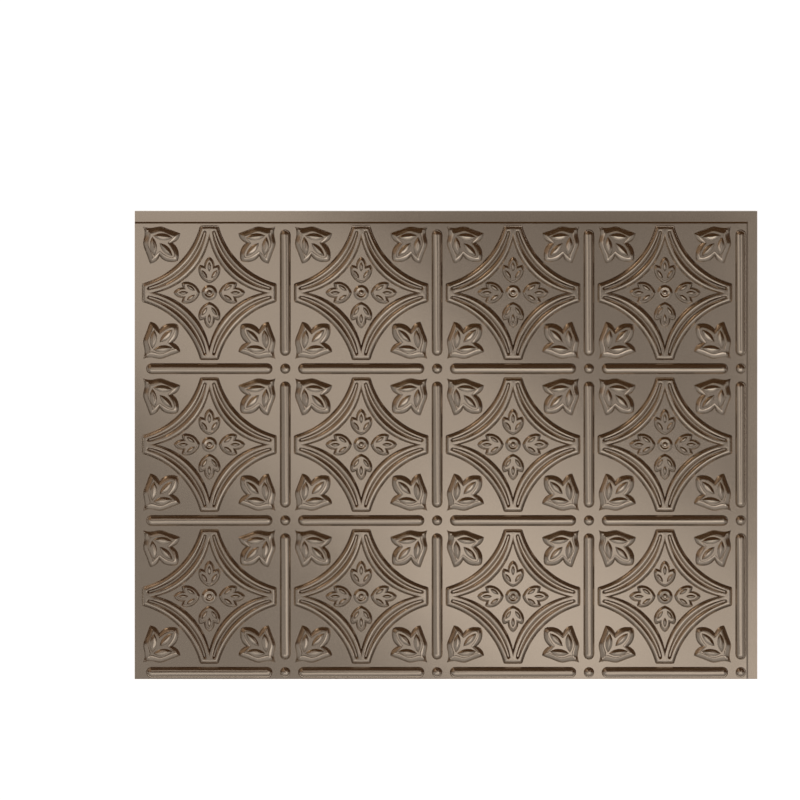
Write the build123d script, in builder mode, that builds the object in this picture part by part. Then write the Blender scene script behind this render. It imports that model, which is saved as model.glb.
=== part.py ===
# Vinyl backsplash panel: one thin formed sheet with a grid of pressed tiles.
# Millimetres. The sheet lies flat with its face up: X along the long side, Y up the wall,
# Z out of the wall. The underside of the laps is at Z = 0.
import os
from math import cos, radians, sin

from build123d import *

os.makedirs("parts", exist_ok=True)

# Grid of tiles
tile_pitch = 152.4
columns = 4
rows = 3
tile_sides = 4

# Sheet and its edges
sheet_thickness = 0.76
lap_drop = 1.0  # the laps sit this far below the ground
step_run = 1.9  # width of the slope from ground to lap
side_lap = 9.1  # flat lap along the right edge
top_lap = 10.8  # flat lap along the top edge
left_trim = 4.3  # plain ground left of the first tile
bottom_trim = 1.3  # plain ground below the lowest beads
bead_trim = 0.1  # plain ground right of the last beads

# Half-round beads between the tiles, and the domes where they meet
bead_width = 11.0
bead_height = 3.4
bead_length = 127.0
dome_width = 10.6
dome_height = 3.0

# Heights of a tile's relief above the ground
frame_height = 2.8
groove_floor = 0.3  # the groove between the frame's two ridges goes down to here
leaf_height = 2.7
leaf_bump_height = 1.0
sprig_height = 1.8
sprig_bump_height = 0.8

# Round boss in the middle of a tile
boss_base = 15.6
boss_top = 10.4
boss_height = 1.8
nub_width = 4.6
nub_height = 0.8

# The motif is drawn for a frame that reaches this far from the tile's centre,
# and grows or shrinks to keep its gap to the beads
drawn_reach = 67.5
frame_gap = 3.2
pattern = (tile_pitch / 2 - bead_width / 2 - frame_gap) / drawn_reach

# Frame: a star with four hollow sides. The waist is the X and the Y of the middle of a side.
# The foot is on the ground and the brow at the top of the slope.
frame_foot = {"waist": 30.45, "tip_half": 9.2, "tip": drawn_reach, "corner": 2.6}
frame_brow = {"waist": 27.9, "tip_half": 6.8, "tip": 64.3, "corner": 1.4}
middle_foot = {"waist": 18.85, "tip_half": 0, "tip": 53.4, "corner": 0}
middle_brow = {"waist": 21.4, "tip_half": 0, "tip": 60.8, "corner": 0}

# Groove in a side of the frame: two arcs with round ends near the tips
groove_foot = {
    "outer": 25.2,
    "outer_end": (5.3, 60.0),
    "inner": 24.4,
    "inner_end": (4.1, 59.8),
    "cap": (4.6, 60.55),
}
groove_brow = {
    "outer": 27.6,
    "outer_end": (6.4, 61.6),
    "inner": 21.8,
    "inner_end": (2.5, 61.2),
    "cap": (4.4, 63.2),
}

# Half of a corner leaf, from the stem tip in the tile's corner to the middle lobe:
# smooth runs that meet at the lobe's tip and at the notch
leaf_foot = [
    [(66.2, 66.2), (61.5, 65.0), (57.0, 65.1), (49.2, 66.4), (41.0, 63.8), (35.5, 61.8), (29.3, 59.4)],
    [(29.3, 59.4), (30.4, 55.4), (33.2, 52.0), (36.8, 50.0)],
    [(36.8, 50.0), (33.4, 46.6), (31.2, 41.8), (30.8, 36.5), (32.0, 32.0)],
]
leaf_brow = [
    [(60.2, 60.2), (57.6, 59.7), (55.2, 60.2), (49.2, 61.8), (42.4, 59.6), (38.4, 57.9), (34.4, 56.7)],
    [(34.4, 56.7), (36.4, 54.7), (39.0, 52.2), (41.4, 49.8)],
    [(41.4, 49.8), (38.0, 45.4), (35.6, 41.0), (34.7, 37.6), (35.4, 35.4)],
]

# Half of a sprig, from its pointed base to its tip
sprig_foot = [
    [(0.0, 9.2), (3.4, 10.7), (6.8, 13.2), (9.5, 16.8), (11.0, 21.2), (11.0, 25.0), (9.6, 28.0)],
    [(9.6, 28.0), (7.4, 27.6), (5.3, 26.7)],
    [(5.3, 26.7), (4.9, 30.2), (3.1, 33.6), (0.0, 36.0)],
]
sprig_brow = [
    [(0.0, 11.9), (2.8, 12.9), (5.4, 14.9), (7.5, 17.8), (8.6, 21.0), (8.8, 23.4), (8.2, 25.3)],
    [(8.2, 25.3), (6.0, 24.9), (3.7, 24.0)],
    [(3.7, 24.0), (3.3, 28.2), (2.1, 31.0), (0.0, 33.0)],
]

# Almond bumps on the lobes: X, Y, length, width and turn in degrees
leaf_bumps = [(46.6, 56.2, 19.4, 7.2, 6), (56.2, 46.6, 19.4, 7.2, 84), (43.4, 43.4, 18.2, 6.8, 45)]
sprig_bumps = [(4.9, 18.6, 10.4, 3.9, 56), (-4.9, 18.6, 10.4, 3.9, 124), (0.0, 26.1, 10.2, 3.8, 90)]
bump_top_length = 0.6  # share of a bump's length that its flat top has
bump_top_width = 0.24


def scaled(x, y):
    return (x * pattern, y * pattern)


def turned(x, y, quarter):
    # the point after a number of quarter turns about the tile's centre
    for _ in range(quarter):
        x, y = -y, x
    return scaled(x, y)


def across_diagonal(x, y):
    return (y, x)


def across_axis(x, y):
    return (-x, y)


def lobed_outline(half, across):
    # closed outline from half of it and its mirror image; the last run goes round the end without a corner
    crown = half[-1] + [across(*point) for point in reversed(half[-1][:-1])]
    with BuildSketch() as face:
        with BuildLine():
            for run in half[:-1]:
                Spline(*[scaled(*point) for point in run])
                Spline(*[scaled(*across(*point)) for point in run])
            Spline(*[scaled(*point) for point in crown])
        make_face()
    return face.sketch


def star_outline(waist, tip_half, tip, corner):
    with BuildSketch() as face:
        with BuildLine():
            for quarter in range(tile_sides):
                ThreePointArc(
                    turned(tip_half, tip, quarter),
                    turned(waist, waist, quarter),
                    turned(tip, tip_half, quarter),
                )
                if tip_half > 0:
                    Line(turned(tip_half, tip, quarter), turned(-tip_half, tip, quarter))
        make_face()
        if corner > 0:
            fillet(face.vertices(), corner * pattern)
    return face.sketch


def groove_outline(outer, outer_end, inner, inner_end, cap):
    with BuildSketch() as face:
        with BuildLine():
            ThreePointArc(scaled(*outer_end), scaled(outer, outer), scaled(*outer_end[::-1]))
            ThreePointArc(scaled(*outer_end[::-1]), scaled(*cap[::-1]), scaled(*inner_end[::-1]))
            ThreePointArc(scaled(*inner_end[::-1]), scaled(inner, inner), scaled(*inner_end))
            ThreePointArc(scaled(*inner_end), scaled(*cap), scaled(*outer_end))
        make_face()
    return face.sketch


def lens_outline(length, width):
    with BuildSketch() as face:
        with BuildLine():
            ThreePointArc((-length / 2, 0), (0, width / 2), (length / 2, 0))
            ThreePointArc((length / 2, 0), (0, -width / 2), (-length / 2, 0))
        make_face()
    return face.sketch


def corner_rectangle(width, height, x, y):
    with BuildSketch() as face:
        with Locations((x, y)):
            Rectangle(width, height, align=(Align.MIN, Align.MIN))
    return face.sketch


def drafted(foot, brow, plane, height):
    # solid with sloping sides from an outline on a plane to another one above it
    with BuildPart() as form:
        with BuildSketch(plane):
            add(foot)
        with BuildSketch(plane.offset(height)):
            add(brow)
        loft(ruled=True)
    return form.part


def almond_bump(x, y, length, width, turn, level, height):
    foot = lens_outline(length * pattern, width * pattern)
    brow = lens_outline(length * bump_top_length * pattern, width * bump_top_width * pattern)
    along = (cos(radians(turn)), sin(radians(turn)), 0)
    return drafted(foot, brow, Plane((*scaled(x, y), level), x_dir=along, z_dir=(0, 0, 1)), height)


def arc_radius(width, height):
    return (width**2 / 4 + height**2) / (2 * height)


def rounded_bead(length, width, height, inset):
    # bead along X with a round back and ball ends; the inset moves its surface in, for the sheet's back
    radius = arc_radius(width, height)
    skin = radius - inset
    half = (length - width) / 2
    middle = Plane((0, 0, height - radius), x_dir=(1, 0, 0), z_dir=(0, -1, 0))
    with BuildPart() as form:
        with BuildSketch(middle):
            with BuildLine():
                Line((-half, skin), (half, skin))
                RadiusArc((half, skin), (half + skin, 0), skin)
                Line((half + skin, 0), (-half - skin, 0))
                RadiusArc((-half - skin, 0), (-half, skin), skin)
            make_face()
        revolve(axis=Axis(middle.origin, middle.x_dir))
    return form.part


def rounded_dome(width, height, inset):
    radius = arc_radius(width, height)
    with BuildPart() as form:
        with Locations((0, 0, height - radius)):
            Sphere(radius - inset)
    return form.part


# Double-ridged frame: the star less its middle and a groove in each side
frame_body = drafted(star_outline(**frame_foot), star_outline(**frame_brow), Plane.XY, frame_height)
frame_middle = drafted(star_outline(**middle_foot), star_outline(**middle_brow), Plane.XY, frame_height)
frame_groove = drafted(
    groove_outline(**groove_foot),
    groove_outline(**groove_brow),
    Plane.XY.offset(groove_floor),
    frame_height - groove_floor,
)
with BuildPart() as frame:
    add(frame_body)
    add(frame_middle, mode=Mode.SUBTRACT)
    with PolarLocations(0, tile_sides):
        add(frame_groove, mode=Mode.SUBTRACT)

# Corner leaf with a bump on each lobe
leaf_body = drafted(
    lobed_outline(leaf_foot, across_diagonal),
    lobed_outline(leaf_brow, across_diagonal),
    Plane.XY,
    leaf_height,
)
leaf_almonds = [almond_bump(*bump, leaf_height, leaf_bump_height) for bump in leaf_bumps]
with BuildPart() as leaf:
    add(leaf_body)
    add(leaf_almonds)

# Sprig with a bump on each lobe
sprig_body = drafted(
    lobed_outline(sprig_foot, across_axis),
    lobed_outline(sprig_brow, across_axis),
    Plane.XY,
    sprig_height,
)
sprig_almonds = [almond_bump(*bump, sprig_height, sprig_bump_height) for bump in sprig_bumps]
with BuildPart() as sprig:
    add(sprig_body)
    add(sprig_almonds)

# Boss with a nub, turned about Z
nub_top = boss_height + nub_height
with BuildPart() as boss:
    with BuildSketch(Plane.XZ):
        with BuildLine():
            Line((0, 0), (0, nub_top))
            RadiusArc((0, nub_top), (nub_width / 2, boss_height), arc_radius(nub_width, nub_height))
            Line((nub_width / 2, boss_height), (boss_top / 2, boss_height))
            Line((boss_top / 2, boss_height), (boss_base / 2, 0))
            Line((boss_base / 2, 0), (0, 0))
        make_face()
    revolve(axis=Axis.Z)

# All the drafted relief of one tile
with BuildPart() as relief:
    add(frame.part)
    add(boss.part)
    with PolarLocations(0, tile_sides):
        add([leaf.part, sprig.part])

# Beads and dome on the right and lower sides of one tile, above the ground
side_place = Location((tile_pitch / 2, 0, 0), (0, 0, 90))
lower_place = Location((0, -tile_pitch / 2, 0))
corner_place = Location((tile_pitch / 2, -tile_pitch / 2, 0))
bead_front = rounded_bead(bead_length, bead_width, bead_height, 0)
bead_back = rounded_bead(bead_length, bead_width, bead_height, sheet_thickness)
dome_front = rounded_dome(dome_width, dome_height, 0)
dome_back = rounded_dome(dome_width, dome_height, sheet_thickness)
with BuildPart() as rounds:
    with Locations(side_place, lower_place):
        add(bead_front)
    with Locations(corner_place):
        add(dome_front)
    split(bisect_by=Plane.XY, keep=Keep.TOP)

# One tile: its square of ground, with the relief raised on the face and hollow behind.
# The square reaches past the beads on its right and lower sides.
cell_right = tile_pitch / 2 + bead_width / 2 + bead_trim
cell_bottom = -tile_pitch / 2 - bead_width / 2 - bottom_trim
with BuildPart() as cell:
    with Locations((cell_right, cell_bottom, 0)):
        Box(tile_pitch, tile_pitch, sheet_thickness, align=(Align.MAX, Align.MIN, Align.MAX))
    add([relief.part, rounds.part])
    with Locations((0, 0, -sheet_thickness)):
        add(relief.part, mode=Mode.SUBTRACT)
    with Locations(side_place, lower_place):
        add(bead_back, mode=Mode.SUBTRACT)
    with Locations(corner_place):
        add(dome_back, mode=Mode.SUBTRACT)

# Raised ground, with its slopes to the laps on the right and at the top
field_width = left_trim + columns * tile_pitch
field_height = rows * tile_pitch
panel_width = field_width + step_run + side_lap
panel_height = field_height + step_run + top_lap
left = -panel_width / 2
bottom = -panel_height / 2
ground_foot = corner_rectangle(field_width + step_run, field_height + step_run, left, bottom)
ground_brow = corner_rectangle(field_width, field_height, left, bottom)
ground_block = drafted(ground_foot, ground_brow, Plane.XY.offset(sheet_thickness), lap_drop)
ground_hollow = drafted(ground_foot, ground_brow, Plane.XY, lap_drop)

# The sheet: laps, slopes and the plain strip at the left, then the tiles in their grid
first_tile = (left + left_trim + tile_pitch - cell_right, bottom - cell_bottom)
ground = lap_drop + sheet_thickness
tile_places = [
    (first_tile[0] + column * tile_pitch, first_tile[1] + row * tile_pitch, ground)
    for row in range(rows)
    for column in range(columns)
]
with BuildPart() as panel:
    Box(panel_width, panel_height, sheet_thickness, align=(Align.CENTER, Align.CENTER, Align.MIN))
    add(ground_block)
    add(ground_hollow, mode=Mode.SUBTRACT)
    with Locations((left + left_trim, bottom, ground)):
        Box(
            columns * tile_pitch,
            field_height,
            sheet_thickness,
            align=(Align.MIN, Align.MIN, Align.MAX),
            mode=Mode.SUBTRACT,
        )
    with Locations(*tile_places):
        add(cell.part, clean=False)

panel.part.label = "panel"
export_step(panel.part, "parts/panel.step")
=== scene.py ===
from cmath import phase
from math import radians, sqrt

import bpy
import numpy as np
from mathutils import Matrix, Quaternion, Vector
from mathutils.geometry import delaunay_2d_cdt


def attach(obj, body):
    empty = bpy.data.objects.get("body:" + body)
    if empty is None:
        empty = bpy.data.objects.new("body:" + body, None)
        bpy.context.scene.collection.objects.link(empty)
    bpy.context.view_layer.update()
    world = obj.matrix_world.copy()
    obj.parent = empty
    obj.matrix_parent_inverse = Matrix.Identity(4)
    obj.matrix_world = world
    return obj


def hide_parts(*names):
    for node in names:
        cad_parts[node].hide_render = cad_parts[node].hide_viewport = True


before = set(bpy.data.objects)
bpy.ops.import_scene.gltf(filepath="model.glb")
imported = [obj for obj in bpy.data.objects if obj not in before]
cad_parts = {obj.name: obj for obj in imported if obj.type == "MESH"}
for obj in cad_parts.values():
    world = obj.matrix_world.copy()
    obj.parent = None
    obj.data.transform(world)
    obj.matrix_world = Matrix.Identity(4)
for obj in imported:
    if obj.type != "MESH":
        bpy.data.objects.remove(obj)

scene = bpy.context.scene
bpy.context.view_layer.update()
mm = 0.001
print("frame loaded")


class Wire:
    # a socket of a node tree: sums written on it become Math nodes
    def __init__(self, tree, socket=None):
        self.tree = tree
        self.socket = socket

    def node(self, kind, settings=(), sockets=(), out=0):
        made = self.tree.nodes.new(kind)
        for name, value in dict(settings).items():
            setattr(made, name, value)
        for name, value in dict(sockets).items():
            if isinstance(value, Wire):
                self.tree.links.new(value.socket, made.inputs[name])
            else:
                made.inputs[name].default_value = value
        return Wire(self.tree, made.outputs[out] if len(made.outputs) else None)

    def sibling(self, name):
        return Wire(self.tree, self.socket.node.outputs[name])

    def sum(self, operation, first, second):
        return self.node("ShaderNodeMath", {"operation": operation}, {0: first, 1: second})

    def __add__(self, other):
        return self.sum("ADD", self, other)

    def __radd__(self, other):
        return self.sum("ADD", other, self)

    def __sub__(self, other):
        return self.sum("SUBTRACT", self, other)

    def __rsub__(self, other):
        return self.sum("SUBTRACT", other, self)

    def __mul__(self, other):
        return self.sum("MULTIPLY", self, other)

    def __rmul__(self, other):
        return self.sum("MULTIPLY", other, self)

    def __gt__(self, other):
        return self.sum("GREATER_THAN", self, other)


# the sheet, in the CAD's sizes: millimetres, X along the long side, Z out of the patterned face
sheet = {
    "pitch": 152.4, "columns": 4, "rows": 3,
    "thickness": 0.76, "lapDrop": 1.0, "stepRun": 1.9, "sideLap": 9.1, "topLap": 10.8,
    "leftTrim": 4.3, "bottomTrim": 1.3, "beadTrim": 0.1,
    "stepShares": [(0.08, 0.04), (0.5, 0.5), (0.92, 0.96), (1, 1)],  # way along the step, and share of its drop
    "borderSteps": 12,  # points along a tile's border, so that tiles and rim meet
    "seam": 0.01, "crease": 24,  # points this near are joined, and folds over this many degrees stay sharp
}
beads = {
    "width": 11.0, "height": 3.4, "length": 127.0, "domeWidth": 10.6, "domeHeight": 3.0,
    # share of the half width, and share of the arc's rise there
    "rise": [(1, 0), (0.965, 0.4), (0.9, 0.85), (0.74, 1), (0.5, 1), (0.25, 1)],
    "backRise": [(1, 1), (0.7, 1)],
    "sideSteps": 6, "endSteps": 8, "domeSteps": 20,
}
ridges = {
    "height": 2.8, "grooveFloor": 0.3,
    # stars: waist, half of the flat tip, reach of the tip and its rounding
    "foot": (30.45, 9.2, 67.5, 2.6), "brow": (27.9, 6.8, 64.3, 1.4),
    "middleFoot": (18.85, 0, 53.4, 0), "middleBrow": (21.4, 0, 60.8, 0),
    # grooves: outer waist and end, inner waist and end, and the cap between the ends
    "grooveFoot": (25.2, (5.3, 60.0), 24.4, (4.1, 59.8), (4.6, 60.55)),
    "grooveBrow": (27.6, (6.4, 61.6), 21.8, (2.5, 61.2), (4.4, 63.2)),
    # way from foot to brow, and share of the rise
    "slope": [(-0.05, 0), (0.05, 0.1), (0.22, 0.38), (0.5, 0.71), (0.8, 0.94), (1, 1)],
    "grooveSlope": [(0, 0), (0.12, 0.2), (0.45, 0.63), (0.78, 0.93), (1, 1)],
    "steps": 24, "innerSteps": 20, "capSteps": 5, "cornerSteps": 3,
    "cornerCut": 0.7,  # share of the rounding that a corner loses on each side
}
leaves = {
    "height": 2.7, "dish": 0.5, "bumpHeight": 1.0,
    "foot": [
        [(66.2, 66.2), (61.5, 65.0), (57.0, 65.1), (49.2, 66.4), (41.0, 63.8), (35.5, 61.8), (29.3, 59.4)],
        [(29.3, 59.4), (30.4, 55.4), (33.2, 52.0), (36.8, 50.0)],
        [(36.8, 50.0), (33.4, 46.6), (31.2, 41.8), (30.8, 36.5), (32.0, 32.0)],
    ],
    "brow": [
        [(60.2, 60.2), (57.6, 59.7), (55.2, 60.2), (49.2, 61.8), (42.4, 59.6), (38.4, 57.9), (34.4, 56.7)],
        [(34.4, 56.7), (36.4, 54.7), (39.0, 52.2), (41.4, 49.8)],
        [(41.4, 49.8), (38.0, 45.4), (35.6, 41.0), (34.7, 37.6), (35.4, 35.4)],
    ],
    "bumps": [(46.6, 56.2, 19.4, 7.2, 6), (56.2, 46.6, 19.4, 7.2, 84), (43.4, 43.4, 18.2, 6.8, 45)],
    "slope": [(-0.04, 0), (0.05, 0.1), (0.2, 0.36), (0.5, 0.7), (0.8, 0.94), (1, 1)],
    "dishEdge": 1.12,  # the dish starts this far along from foot to brow
    "runs": [15, 6, 14], "bumpSteps": 7,
}
sprigs = {
    "height": 1.8, "dish": 0.3, "bumpHeight": 0.8,
    "foot": [
        [(0.0, 9.2), (3.4, 10.7), (6.8, 13.2), (9.5, 16.8), (11.0, 21.2), (11.0, 25.0), (9.6, 28.0)],
        [(9.6, 28.0), (7.4, 27.6), (5.3, 26.7)],
        [(5.3, 26.7), (4.9, 30.2), (3.1, 33.6), (0.0, 36.0)],
    ],
    "brow": [
        [(0.0, 11.9), (2.8, 12.9), (5.4, 14.9), (7.5, 17.8), (8.6, 21.0), (8.8, 23.4), (8.2, 25.3)],
        [(8.2, 25.3), (6.0, 24.9), (3.7, 24.0)],
        [(3.7, 24.0), (3.3, 28.2), (2.1, 31.0), (0.0, 33.0)],
    ],
    "bumps": [(4.9, 18.6, 10.4, 3.9, 56), (-4.9, 18.6, 10.4, 3.9, 124), (0.0, 26.1, 10.2, 3.8, 90)],
    "slope": [(-0.05, 0), (0.06, 0.08), (0.35, 0.44), (0.7, 0.82), (1, 1)],
    "dishEdge": 1.18,
    "runs": [10, 2, 8], "bumpSteps": 5,
}
almonds = {
    # length, width and rise of an almond bump's loops
    "shares": [(1, 1, 0), (0.95, 0.84, 0.3), (0.86, 0.62, 0.56), (0.74, 0.36, 0.8), (0.6, 0.06, 1)],
    "backSteps": 4,
}
boss = {
    # radius and height of its loops
    "face": [
        (7.95, 0), (7.6, 0.24), (6.9, 0.76), (6.1, 1.34), (5.5, 1.7), (5.1, 1.8), (4.5, 1.66),
        (3.8, 1.24), (3.1, 1.05), (2.6, 1.2), (2.2, 1.62), (1.5, 2.3), (0.7, 2.56), (0, 2.6),
    ],
    "back": [(7.8, 0), (5.2, 1.8), (2.3, 1.8), (0, 2.6)],
    "steps": 24,
}
straight = [(0, 0), (1, 1)]  # the back's slopes have no rounding

halfPitch = sheet["pitch"] / 2
ground = sheet["lapDrop"] + sheet["thickness"]
cellRight = halfPitch + beads["width"] / 2 + sheet["beadTrim"]
cellBottom = -halfPitch - beads["width"] / 2 - sheet["bottomTrim"]


# outlines are arrays of points in millimetres from the tile's centre

def smoothRun(points, steps):
    # cubic curve through the points, both ends included
    spots = np.array(points, float)
    last = len(spots) - 1
    knots = np.append(0, np.cumsum(np.hypot(*np.diff(spots, axis=0).T)))
    gaps = np.diff(knots)
    terms, sums = np.zeros((last + 1, last + 1)), np.zeros((last + 1, 2))
    for i in range(1, last):
        terms[i, i - 1:i + 2] = gaps[i - 1], 2 * (gaps[i - 1] + gaps[i]), gaps[i]
        sums[i] = 6 * ((spots[i + 1] - spots[i]) / gaps[i] - (spots[i] - spots[i - 1]) / gaps[i - 1])
    if last == 2:
        terms[0, :2] = terms[2, 1:] = 1, -1
    else:
        terms[0, :3] = gaps[1], -gaps[0] - gaps[1], gaps[0]
        terms[last, -3:] = gaps[-1], -gaps[-2] - gaps[-1], gaps[-2]
    bend = np.linalg.solve(terms, sums)
    stops = np.linspace(0, knots[-1], steps + 1)
    span = np.clip(np.searchsorted(knots, stops, side="right") - 1, 0, last - 1)
    gap = gaps[span, None]
    back, ahead = (knots[span + 1] - stops)[:, None], (stops - knots[span])[:, None]
    curve = (bend[span] * back ** 3 + bend[span + 1] * ahead ** 3) / (6 * gap)
    curve = curve + (spots[span] / gap - bend[span] * gap / 6) * back
    return curve + (spots[span + 1] / gap - bend[span + 1] * gap / 6) * ahead


def arcRun(start, middle, end, steps, trim=0):
    # arc through three points, less a little at each end where a corner is rounded
    a, b, c = complex(*start), complex(*middle), complex(*end)
    w = (c - a) / (b - a)
    centre = a + (b - a) * (w - abs(w) ** 2) / (2j * w.imag)
    sweep = phase((b - centre) / (a - centre)) + phase((c - centre) / (b - centre))
    share = trim / abs((a - centre) * sweep)
    on = centre + (a - centre) * np.exp(1j * sweep * np.linspace(share, 1 - share, steps + 1))
    return np.column_stack([on.real, on.imag])


def cornerRun(start, corner, end, steps):
    t = np.linspace(0, 1, steps + 1)[:, None]
    return np.array(start) * (1 - t) ** 2 + np.array(corner) * 2 * t * (1 - t) + np.array(end) * t ** 2


def quarterTurns(points):
    return [points, points[:, ::-1] * (1, -1), -points, points[:, ::-1] * (-1, 1)]


def starLoop(waist, tipHalf, tip, corner, steps):
    cut = ridges["cornerCut"] * corner
    side = arcRun((tipHalf, tip), (waist, waist), (tip, tipHalf), steps, cut)
    if corner == 0:
        return np.concatenate(quarterTurns(side[:-1]))
    turnIn = cornerRun((tipHalf - cut, tip), (tipHalf, tip), side[0], ridges["cornerSteps"])
    turnOut = cornerRun(side[-1], (tip, tipHalf), (tip, tipHalf - cut), ridges["cornerSteps"])
    return np.concatenate(quarterTurns(np.concatenate([[(0, tip)], turnIn[:-1], side, turnOut[1:]])))


def grooveLoop(outer, outerEnd, inner, innerEnd, cap, steps):
    far = arcRun(outerEnd, (outer, outer), outerEnd[::-1], steps)
    near = arcRun(innerEnd[::-1], (inner, inner), innerEnd, steps)
    lowCap = arcRun(outerEnd[::-1], cap[::-1], innerEnd[::-1], ridges["capSteps"])
    highCap = arcRun(innerEnd, cap, outerEnd, ridges["capSteps"])
    return np.concatenate([far[:-1], lowCap[:-1], near[:-1], highCap[:-1]])


def lobedLoop(half, mirror, steps):
    # half an outline and its mirror image; the last run goes round the end without a corner
    runs = [smoothRun(run, count) for run, count in zip(half[:-1], steps)]
    crown = smoothRun(np.concatenate([half[-1], mirror(np.array(half[-1][-2::-1]))]), steps[-1])
    return np.concatenate(
        [run[:-1] for run in runs] + [crown[:-1]] + [mirror(run[::-1])[:-1] for run in reversed(runs)]
    )


def acrossDiagonal(points):
    return points[:, ::-1]


def acrossAxis(points):
    return points * (-1, 1)


def lensLoop(x, y, length, width, turn, steps):
    upper = arcRun((-length / 2, 0), (0, width / 2), (length / 2, 0), steps)[:-1]
    along = np.array([np.cos(radians(turn)), np.sin(radians(turn))])
    both = np.concatenate([upper, -upper])
    return (x, y) + both[:, :1] * along + both[:, 1:] * (-along[1], along[0])


def roundLoop(x, y, radius, count):
    turn = np.linspace(0, 2 * np.pi, count, endpoint=False)
    return (x, y) + radius * np.column_stack([np.cos(turn), np.sin(turn)])


def beadLoop(half, radius, steps, ends):
    # straight sides and round ends, along X
    side = np.column_stack([np.linspace(-half, half, steps + 1), np.full(steps + 1, -radius)])
    end = arcRun((half, -radius), (half + radius, 0), (half, radius), ends)[1:-1]
    return np.concatenate([side, end, -side, -end])


def borderLoop():
    stops = np.linspace(0, sheet["pitch"], sheet["borderSteps"] + 1)[:-1, None]
    corners = np.array([(-1, 0), (0, 0), (0, 1), (-1, 1)]) * sheet["pitch"] + (cellRight, cellBottom)
    headings = np.array([(1, 0), (0, 1), (-1, 0), (0, -1)])
    return np.concatenate([corner + stops * heading for corner, heading in zip(corners, headings)])


# forms of one tile: lists of loops, each with its height over the ground

def stepCount(count, isFace):
    return count if isFace else count // 2  # the back needs fewer points


def rings(foot, brow, steps, low, high):
    # loops between a foot and a brow
    return [(foot + (brow - foot) * share, low + (high - low) * rise) for share, rise in steps]


def starForm(isFace, down):
    # the frame and its open middle
    slope = ridges["slope"] if isFace else straight
    tall = ridges["height"] - down
    outer = [starLoop(*ridges[name], stepCount(ridges["steps"], isFace)) for name in ("foot", "brow")]
    innerSteps = stepCount(ridges["innerSteps"], isFace)
    middle = [starLoop(*ridges[name], innerSteps) for name in ("middleFoot", "middleBrow")]
    return rings(*outer, slope, -down, tall) + rings(*middle, slope, -down, tall)


def grooveForm(isFace, down):
    slope = ridges["grooveSlope"] if isFace else straight
    innerSteps = stepCount(ridges["innerSteps"], isFace)
    groove = [grooveLoop(*ridges[name], innerSteps) for name in ("grooveFoot", "grooveBrow")]
    return rings(*groove, slope, ridges["grooveFloor"] - down, ridges["height"] - down)


def lobedForm(form, mirror, isFace, down):
    # a leaf or a sprig with its bumps: the rim rounds over into a shallow dish on the face
    runs = [stepCount(count, isFace) for count in form["runs"]]
    foot, brow = lobedLoop(form["foot"], mirror, runs), lobedLoop(form["brow"], mirror, runs)
    floor = form["height"] - down
    loops = rings(foot, brow, form["slope"] if isFace else straight, -down, floor)
    shares, bumpSteps = almonds["shares"], form["bumpSteps"]
    if isFace:
        floor -= form["dish"]
        loops.append((foot + (brow - foot) * form["dishEdge"], floor))
    else:
        shares, bumpSteps = [shares[0], shares[-1]], almonds["backSteps"]
    top = form["height"] + form["bumpHeight"] - down
    for x, y, length, width, turn in form["bumps"]:
        for long, wide, rise in shares:
            loop = lensLoop(x, y, length * long, width * wide, turn, bumpSteps)
            loops.append((loop, floor + (top - floor) * rise))
    return loops


def bossForm(isFace, down):
    loops = []
    for radius, level in boss["face" if isFace else "back"]:
        loop = roundLoop(0, 0, radius, stepCount(boss["steps"], isFace)) if radius else np.zeros((1, 2))
        loops.append((loop, level - down))
    return loops


def roundOver(width, height, shares, inset):
    # half widths and heights of the loops of a round form, from its foot to its top
    radius = (width ** 2 / 4 + height ** 2) / (2 * height) - inset
    reach = sqrt(radius ** 2 - (radius - height) ** 2)
    return [
        (reach * share, rise * (sqrt(radius ** 2 - (reach * share) ** 2) - radius + height))
        for share, rise in shares
    ]


def lowerAndRight(points, level):
    return [(points + (0, -halfPitch), level), (points[:, ::-1] + (halfPitch, 0), level)]


def beadForm(isFace, down):
    # beads on the right and lower side, and the dome between their ends; behind they are inset, not moved
    shares = beads["rise"] if isFace else beads["backRise"]
    half = (beads["length"] - beads["width"]) / 2
    sideSteps = stepCount(beads["sideSteps"], isFace)
    endSteps = stepCount(beads["endSteps"], isFace)
    domeSteps = stepCount(beads["domeSteps"], isFace)
    loops = []
    for radius, level in roundOver(beads["width"], beads["height"], shares, down):
        loops += lowerAndRight(beadLoop(half, radius, sideSteps, endSteps), level - down)
    crest = np.column_stack([np.linspace(-half, half, sideSteps + 1), np.zeros(sideSteps + 1)])
    loops += lowerAndRight(crest, beads["height"] - down)
    for radius, level in roundOver(beads["domeWidth"], beads["domeHeight"], shares, down):
        loops.append((roundLoop(halfPitch, -halfPitch, radius, domeSteps), level - down))
    return loops + [(np.array([(halfPitch, -halfPitch)]), beads["domeHeight"] - down)]


def tileLoops(isFace):
    # every loop of one tile, the border last; the back is the face moved down by the sheet
    down = 0 if isFace else sheet["thickness"]
    loops = starForm(isFace, down)
    repeated = grooveForm(isFace, down)
    repeated += lobedForm(leaves, acrossDiagonal, isFace, down)
    repeated += lobedForm(sprigs, acrossAxis, isFace, down)
    for points, level in repeated:
        loops += [(turned, level) for turned in quarterTurns(points)]
    return loops + bossForm(isFace, down) + beadForm(isFace, down) + [(borderLoop(), -down)]


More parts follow.
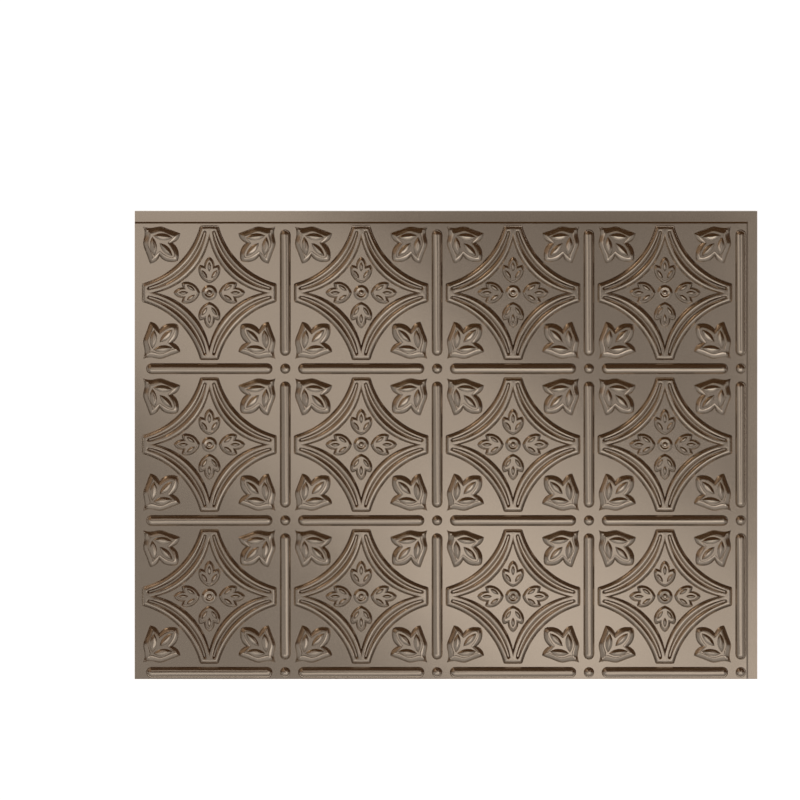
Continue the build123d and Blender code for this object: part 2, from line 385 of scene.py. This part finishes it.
def drapedTile(isFace):
    # triangles over all the loops of a tile, within its border
    flat, heights, ties = [], [], []
    for points, level in tileLoops(isFace):
        first, count = len(flat), len(points)
        flat.extend(Vector(point) for point in points)
        heights.extend([level] * count)
        if count > 1:
            ties.extend((first + i, first + (i + 1) % count) for i in range(count))
    border = list(range(first, len(flat)))
    insideOnly, nearness = 1, 1e-6
    spots, _, faces, sources, _, _ = delaunay_2d_cdt(flat, ties, [border], insideOnly, nearness)
    known = np.array(flat)
    crossings = 0
    verts = []
    for spot, source in zip(spots, sources):
        if not source:  # loops that cross get a new point, at the height of the nearest one
            source = [int(np.argmin(np.hypot(*(known - spot).T)))]
            crossings += 1
        verts.append((spot.x, spot.y, ground + heights[source[0]]))
    side = "face" if isFace else "back"
    print("tile", side, len(verts), "points,", len(faces), "triangles,", crossings, "crossings")
    return verts, [face if isFace else face[::-1] for face in faces]


def meshObject(name, verts, faces):
    mesh = bpy.data.meshes.new(name)
    mesh.from_pydata([tuple(value * mm for value in vert) for vert in verts], [], faces)
    made = bpy.data.objects.new(name, mesh)
    scene.collection.objects.link(made)
    return made


faceVerts, faceFaces = drapedTile(True)
backVerts, backFaces = drapedTile(False)
backFaces = [[index + len(faceVerts) for index in face] for face in backFaces]
tile = meshObject("tile", faceVerts + backVerts, faceFaces + backFaces)

# the rim: plain strip at the left, steps down to the laps at the right and top, and the cut edges all round
fieldWidth = sheet["leftTrim"] + sheet["columns"] * sheet["pitch"]
fieldHeight = sheet["rows"] * sheet["pitch"]
panelWidth = fieldWidth + sheet["stepRun"] + sheet["sideLap"]
panelHeight = fieldHeight + sheet["stepRun"] + sheet["topLap"]
left, bottom = -panelWidth / 2, -panelHeight / 2


def rimStops(start, lead, count, lap):
    # positions across the sheet, each with its share of the drop to the lap
    tiles = count * sheet["borderSteps"]
    inner = [(start + lead + sheet["pitch"] * i / sheet["borderSteps"], 0) for i in range(tiles + 1)]
    far = inner[-1][0]
    step = [(far + sheet["stepRun"] * share, drop) for share, drop in sheet["stepShares"]]
    return ([(start, 0)] if lead else []) + inner + step + [(far + sheet["stepRun"] + lap, 1)]


def rimMesh():
    across = rimStops(left, sheet["leftTrim"], sheet["columns"], sheet["sideLap"])
    upward = rimStops(bottom, 0, sheet["rows"], sheet["topLap"])
    tilesLeft = left + sheet["leftTrim"] - sheet["seam"]
    tilesRight = left + fieldWidth + sheet["seam"]
    tilesTop = bottom + fieldHeight + sheet["seam"]
    verts, faces, known = [], [], {}

    def corner(i, j, isFace):
        if (i, j, isFace) not in known:
            (x, dropX), (y, dropY) = across[i], upward[j]
            known[i, j, isFace] = len(verts)
            z = ground - sheet["lapDrop"] * max(dropX, dropY)
            verts.append((x, y, z if isFace else z - sheet["thickness"]))
        return known[i, j, isFace]

    for i in range(len(across) - 1):
        for j in range(len(upward) - 1):
            inColumns = across[i][0] >= tilesLeft and across[i + 1][0] <= tilesRight
            if inColumns and upward[j + 1][0] <= tilesTop:
                continue  # the tiles go here
            for isFace in (True, False):
                a, b, c, d = (corner(i + m, j + n, isFace) for m, n in ((0, 0), (1, 0), (1, 1), (0, 1)))
                faces += [(a, b, c), (a, c, d)] if isFace else [(c, b, a), (d, c, a)]
    endX, endY = len(across) - 1, len(upward) - 1
    outline = [(i, 0) for i in range(endX)] + [(endX, j) for j in range(endY)]
    outline += [(i, endY) for i in range(endX, 0, -1)] + [(0, j) for j in range(endY, 0, -1)]
    for here, ahead in zip(outline, outline[1:] + outline[:1]):
        faces.append([corner(*here, False), corner(*ahead, False), corner(*ahead, True), corner(*here, True)])
    return verts, faces


rim = meshObject("formedSheet", *rimMesh())
print("tile and rim made")


# the tiles' grid: one tile on each point, joined to the rim and closed along the seams
def tileGridTree():
    tree = bpy.data.node_groups.new("tileGrid", "GeometryNodeTree")
    inputs = {}
    for name, kind in (
        ("Rim", "Geometry"), ("Tile", "Object"), ("Columns", "Int"), ("Rows", "Int"), ("Pitch", "Float"),
        ("First Tile", "Vector"), ("Seam", "Float"), ("Crease", "Float"), ("Finish", "Material"),
    ):
        socket = tree.interface.new_socket(name, in_out="INPUT", socket_type="NodeSocket" + kind)
        inputs[name] = socket.identifier
    tree.interface.new_socket("Sheet", in_out="OUTPUT", socket_type="NodeSocketGeometry")
    start = Wire(tree)
    given = start.node("NodeGroupInput")
    pitch, columns, rows = given.sibling("Pitch"), given.sibling("Columns"), given.sibling("Rows")
    width, height = (columns - 1) * pitch, (rows - 1) * pitch
    grid = start.node("GeometryNodeMeshGrid", {}, {
        "Size X": width, "Size Y": height, "Vertices X": columns, "Vertices Y": rows,
    })
    middle = start.node("ShaderNodeCombineXYZ", {}, {"X": width * 0.5, "Y": height * 0.5})
    shift = start.node("ShaderNodeVectorMath", {"operation": "ADD"}, {
        0: middle, 1: given.sibling("First Tile"),
    })
    placed = start.node("GeometryNodeSetPosition", {}, {"Geometry": grid, "Offset": shift})
    one = start.node("GeometryNodeObjectInfo", {}, {
        "Object": given.sibling("Tile"), "As Instance": True,
    }, "Geometry")
    copies = start.node("GeometryNodeInstanceOnPoints", {}, {"Points": placed, "Instance": one})
    both = start.node("GeometryNodeJoinGeometry", {}, {"Geometry": copies})
    tree.links.new(given.sibling("Rim").socket, both.socket.node.inputs["Geometry"])
    real = start.node("GeometryNodeRealizeInstances", {}, {"Geometry": both})
    closed = start.node("GeometryNodeMergeByDistance", {}, {
        "Geometry": real, "Distance": given.sibling("Seam"),
    })
    smooth = start.node("GeometryNodeSetShadeSmooth", {"domain": "FACE"}, {
        "Geometry": closed, "Shade Smooth": True,
    })
    fold = start.node("GeometryNodeInputMeshEdgeAngle") > given.sibling("Crease")
    creased = start.node("GeometryNodeSetShadeSmooth", {"domain": "EDGE"}, {
        "Geometry": smooth, "Selection": fold, "Shade Smooth": False,
    })
    done = start.node("GeometryNodeSetMaterial", {}, {
        "Geometry": creased, "Material": given.sibling("Finish"),
    })
    start.node("NodeGroupOutput", {}, {"Sheet": done})
    return tree, inputs


# satin bronze: a metallic film under a clear skin, with fine pearl and faint clouding
bronze = {
    "light": (0.46, 0.375, 0.295, 1), "dark": (0.37, 0.295, 0.225, 1),
    "metallic": 0.92, "roughness": 0.2, "coat": 0.2, "coatRoughness": 0.12,
    # scale and detail of a noise, and its share in the tone and the roughness
    "cloud": {"scale": 16.0, "detail": 3.0, "tone": 0.7, "rough": 0.1},
    "pearl": {"scale": 620.0, "detail": 2.0, "tone": 0.5, "rough": 0.08},
    "grain": {"scale": 1500.0, "detail": 2.0, "strength": 0.03, "depth": 0.0002},
}


def bronzeVinyl():
    made = bpy.data.materials.new("bronzeVinyl")
    made.use_nodes = True
    tree = made.node_tree
    tree.nodes.clear()
    start = Wire(tree)
    place = start.node("ShaderNodeTexCoord", out="Object")

    def noise(kind):
        return start.node("ShaderNodeTexNoise", {}, {
            "Vector": place, "Scale": kind["scale"], "Detail": kind["detail"],
        })

    cloudy, pearly, grain = bronze["cloud"], bronze["pearl"], bronze["grain"]
    cloud, pearl = noise(cloudy) - 0.5, noise(pearly) - 0.5
    tone = 0.5 + cloud * cloudy["tone"] + pearl * pearly["tone"]
    rough = bronze["roughness"] + cloud * cloudy["rough"] + pearl * pearly["rough"]
    colour = start.node("ShaderNodeMix", {"data_type": "RGBA"}, {
        0: tone, 6: bronze["dark"], 7: bronze["light"],
    }, 2)
    bump = start.node("ShaderNodeBump", {}, {
        "Strength": grain["strength"], "Distance": grain["depth"], "Height": noise(grain),
    })
    skin = start.node("ShaderNodeBsdfPrincipled", {}, {
        "Base Color": colour, "Metallic": bronze["metallic"], "Roughness": rough, "Normal": bump,
        "Coat Weight": bronze["coat"], "Coat Roughness": bronze["coatRoughness"],
    })
    start.node("ShaderNodeOutputMaterial", {}, {"Surface": skin})
    return made


tree, inputs = tileGridTree()
grid = rim.modifiers.new("tileGrid", "NODES")
grid.node_group = tree
firstTile = (left + sheet["leftTrim"] + sheet["pitch"] - cellRight, bottom - cellBottom)
for name, value in {
    "Tile": tile, "Columns": sheet["columns"], "Rows": sheet["rows"], "Pitch": sheet["pitch"] * mm,
    "First Tile": (firstTile[0] * mm, firstTile[1] * mm, 0.0),
    "Seam": sheet["seam"] * mm, "Crease": radians(sheet["crease"]), "Finish": bronzeVinyl(),
}.items():
    grid[inputs[name]] = value
even = rim.modifiers.new("evenShading", "WEIGHTED_NORMAL")  # keeps the flat ground flat beside its curves
even.keep_sharp = True
graph = bpy.context.evaluated_depsgraph_get()
finished = rim.evaluated_get(graph)
plain = bpy.data.meshes.new_from_object(finished, preserve_all_data_layers=True, depsgraph=graph)
rim.modifiers.clear()
rim.data = plain
plain.name = "formedSheet"
bpy.data.objects.remove(tile)
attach(rim, "root")
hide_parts("panel")
triangles = sum(len(face.vertices) - 2 for face in plain.polygons)
print("sheet", len(plain.vertices), "points,", triangles, "triangles")

# floor: white to the camera and to reflections, and it keeps the shadow
floor = {"size": 16.0, "low": -0.0004, "colour": (0.86, 0.86, 0.86, 1), "glow": 0.72}


def whiteFloor():
    made = bpy.data.materials.new("whiteFloor")
    made.use_nodes = True
    tree = made.node_tree
    tree.nodes.clear()
    start = Wire(tree)
    path = start.node("ShaderNodeLightPath", out="Is Camera Ray")
    seen = path + path.sibling("Is Glossy Ray") + path.sibling("Is Transmission Ray")
    matt = start.node("ShaderNodeBsdfDiffuse", {}, {"Color": floor["colour"]})
    glow = start.node("ShaderNodeEmission", {}, {"Color": (1, 1, 1, 1), "Strength": seen * floor["glow"]})
    both = start.node("ShaderNodeAddShader", {}, {0: matt, 1: glow})
    start.node("ShaderNodeOutputMaterial", {}, {"Surface": both})
    return made


half = floor["size"] / 2
floorCorners = [(x, y, floor["low"]) for x, y in ((-half, -half), (half, -half), (half, half), (-half, half))]
floorMesh = bpy.data.meshes.new("floor")
floorMesh.from_pydata(floorCorners, [], [(0, 1, 2, 3)])
floorMesh.materials.append(whiteFloor())
floorObject = bpy.data.objects.new("floor", floorMesh)
scene.collection.objects.link(floorObject)

# soft boxes: place, what it faces, size, radiance, the turn about its own axis, and colour
white, warm = (1, 1, 1), (1, 0.8, 0.6)
lamps = {
    "strip": ((-0.01, -0.025, 0.7), (-0.01, -0.025, 0), (1.3, 0.27), 0.46, -40, white),
    "lowRight": ((0.08, -0.19, 0.74), (0.08, -0.19, 0), (0.28, 0.2), 0.32, -30, white),
    "crest": ((0.0, -0.98, 1.8), (0, 0, 0), (2.6, 0.9), 0.55, 0, white),
    "rightStrip": ((0.5, -0.05, 0.78), (0, -0.05, 0), (0.9, 0.26), 0.5, 0, white),
    "front": ((0.1, -1.6, 1.1), (0, 0, 0), (1.8, 0.6), 0.1, 0, white),
    "warmSide": ((-1.8, 1.4, 1.5), (0, 0, 0), (2.2, 2.2), 0.28, 0, warm),
    "spark": ((-1.0, 1.5, 0.42), (0, 0, 0), (0.3, 0.3), 1.5, 0, warm),
}
for name, (place, aim, size, radiance, turn, colour) in lamps.items():
    lamp = bpy.data.lights.new(name, "AREA")
    lamp.shape = "RECTANGLE"
    lamp.size, lamp.size_y = size
    lamp.energy = radiance * np.pi * size[0] * size[1]
    lamp.color = colour
    lampObject = bpy.data.objects.new(name, lamp)
    lampObject.visible_camera = False  # the strip hangs between the camera and the sheet
    facing = (Vector(aim) - Vector(place)).to_track_quat("-Z", "Y")
    lampObject.rotation_mode = "QUATERNION"
    lampObject.rotation_quaternion = facing @ Quaternion((0, 0, 1), radians(turn))
    lampObject.location = place
    scene.collection.objects.link(lampObject)

# the room: a pale ceiling over the near side, dimmer walls, and a dark brown far side
room = {
    "ceiling": (0.46, 0.46, 0.46, 1), "walls": (0.12, 0.095, 0.07, 1), "farSide": (0.085, 0.044, 0.016, 1),
    "turn": 86.0,  # degrees from X to the far side
    "edge": (0.1, 0.03), "wallTop": (0.16, 0.38),  # where the far side and the walls fade into the ceiling
}


def studioRoom():
    made = bpy.data.worlds.new("studioRoom")
    made.use_nodes = True
    tree = made.node_tree
    tree.nodes.clear()
    start = Wire(tree)
    way = start.node("ShaderNodeTexCoord", out="Generated")
    across = start.node("ShaderNodeSeparateXYZ", {}, {0: way})
    turn = radians(room["turn"])
    away = across * np.cos(turn) + across.sibling("Y") * np.sin(turn)

    def fade(value, low, high):
        return start.node("ShaderNodeMapRange", {"interpolation_type": "SMOOTHSTEP"}, {
            "Value": value, "From Min": low, "From Max": high,
        })

    def mixed(share, first, second):
        return start.node("ShaderNodeMix", {"data_type": "RGBA"}, {0: share, 6: first, 7: second}, 2)

    near = mixed(fade(across.sibling("Z"), *room["wallTop"]), room["walls"], room["ceiling"])
    whole = mixed(fade(away, *room["edge"]), room["farSide"], near)
    glow = start.node("ShaderNodeBackground", {}, {"Color": whole, "Strength": 1.0})
    start.node("ShaderNodeOutputWorld", {}, {"Surface": glow})
    return made


scene.world = studioRoom()
print("floor and lights made")

# camera straight above; the picture is 800 by 800 and the sheet's middle is right of and below its middle
camera = {"lens": 400.0, "sensor": 36.0, "width": 0.803, "x": -0.0462, "y": 0.0452}
lens = bpy.data.cameras.new("camera")
lens.lens = camera["lens"]
lens.sensor_width = camera["sensor"]
eye = bpy.data.objects.new("camera", lens)
eye.location = (camera["x"], camera["y"], camera["width"] * camera["lens"] / camera["sensor"] + ground * mm)
scene.collection.objects.link(eye)
scene.camera = eye
scene.view_settings.view_transform = "Standard"

print("scene ready")
